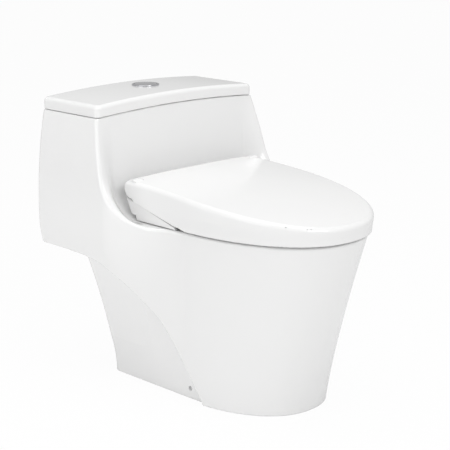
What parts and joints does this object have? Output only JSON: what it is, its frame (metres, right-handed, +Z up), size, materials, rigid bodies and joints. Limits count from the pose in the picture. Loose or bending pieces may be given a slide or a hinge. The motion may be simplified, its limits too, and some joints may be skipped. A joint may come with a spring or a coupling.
{
  "type": "toilet",
  "caption": "One-piece skirted toilet with an arched tank, dual flush buttons on the tank lid and a low seat unit with a heated ring, slow-closing lid and spray wands.",
  "frame": {"origin": "on the floor, at the centre of the waste outlet", "axes": "+Z up, -Y towards the front of the bowl, +X to the right of a person facing the tank"},
  "size_m": [0.5162, 0.698, 0.6435],
  "materials": {
    "glazed_china": "gloss",
    "white_plastic": "gloss",
    "grey_plastic": "matte",
    "valve_plastic": "matte",
    "chrome": "polished",
    "steel": "brushed",
    "brass": "satin",
    "rubber": "matte",
    "heating_foil": "satin"
  },
  "bodies": {
    "base": {"china_body": "glazed_china", "outlet_gasket": "rubber", "floor_bracket_left": "steel", "floor_bracket_right": "steel", "side_screw_left": "steel", "side_screw_right": "steel", "seat_mounting_plate": "steel", "deck_bolt_left": "steel", "deck_bolt_right": "steel", "deck_nut_left": "grey_plastic", "deck_nut_right": "grey_plastic", "seat_base_tray": "grey_plastic", "seat_housing": "white_plastic", "hinge_pin_left": "steel", "hinge_pin_right": "steel", "water_heater": "grey_plastic", "inlet_valve": "brass", "nozzle_guide": "grey_plastic", "flush_valve_base": "valve_plastic", "flush_valve_tower": "valve_plastic", "fill_valve_column": "valve_plastic", "fill_valve_cap": "valve_plastic", "fill_valve_nut": "valve_plastic", "refill_tube": "valve_plastic"},
    "tank_lid": {"tank_lid": "glazed_china", "button_housing": "chrome", "button_nut": "valve_plastic"},
    "button_large": {"button_large": "chrome"},
    "button_small": {"button_small": "chrome"},
    "flush_plunger": {"flush_plunger": "valve_plastic", "flush_seal": "rubber"},
    "fill_float": {"fill_valve_float": "valve_plastic"},
    "seat_ring": {"seat_ring_top": "white_plastic", "seat_ring_bottom": "white_plastic", "seat_heating_element": "heating_foil", "seat_bumper_front_left": "rubber", "seat_bumper_front_right": "rubber", "seat_bumper_rear_left": "rubber", "seat_bumper_rear_right": "rubber"},
    "seat_lid": {"seat_lid": "white_plastic", "lid_bumper_left": "rubber", "lid_bumper_right": "rubber"},
    "nozzle_rear": {"nozzle_rear": "grey_plastic"},
    "nozzle_front": {"nozzle_front": "grey_plastic"}
  },
  "joints": [
    {"name": "seat_ring_hinge", "type": "hinge", "parent": "base", "child": "seat_ring", "pos_m": [0, 0.048, 0.456], "axis": [1, 0, 0], "range_deg": [-100, 0]},
    {"name": "seat_lid_hinge", "type": "hinge", "parent": "seat_ring", "child": "seat_lid", "pos_m": [0, 0.048, 0.456], "axis": [-1, 0, 0], "range_deg": [0, 100]},
    {"name": "tank_lid_lift", "type": "slide", "parent": "base", "child": "tank_lid", "axis": [0, 0, 1], "range_m": [0, 0.15]},
    {"name": "button_large_press", "type": "slide", "parent": "tank_lid", "child": "button_large", "axis": [0, 0, -1], "range_m": [0, 0.005], "stiffness_N_per_m": 400, "springref_m": -0.002},
    {"name": "button_small_press", "type": "slide", "parent": "tank_lid", "child": "button_small", "axis": [0, 0, -1], "range_m": [0, 0.005], "stiffness_N_per_m": 400, "springref_m": -0.002},
    {"name": "flush_plunger_lift", "type": "slide", "parent": "base", "child": "flush_plunger", "axis": [0, 0, 1], "range_m": [0, 0.024]},
    {"name": "fill_float_drop", "type": "slide", "parent": "base", "child": "fill_float", "axis": [0, 0, -1], "range_m": [0, 0.08]},
    {"name": "nozzle_rear_extend", "type": "slide", "parent": "base", "child": "nozzle_rear", "axis": [0, -0.829, -0.5592], "range_m": [0, 0.058]},
    {"name": "nozzle_front_extend", "type": "slide", "parent": "base", "child": "nozzle_front", "axis": [0, -0.829, -0.5592], "range_m": [0, 0.058]}
  ],
  "couplings": [
    {"joint": "flush_plunger_lift", "follows": "button_large_press", "ratio": 4.8}
  ]
}
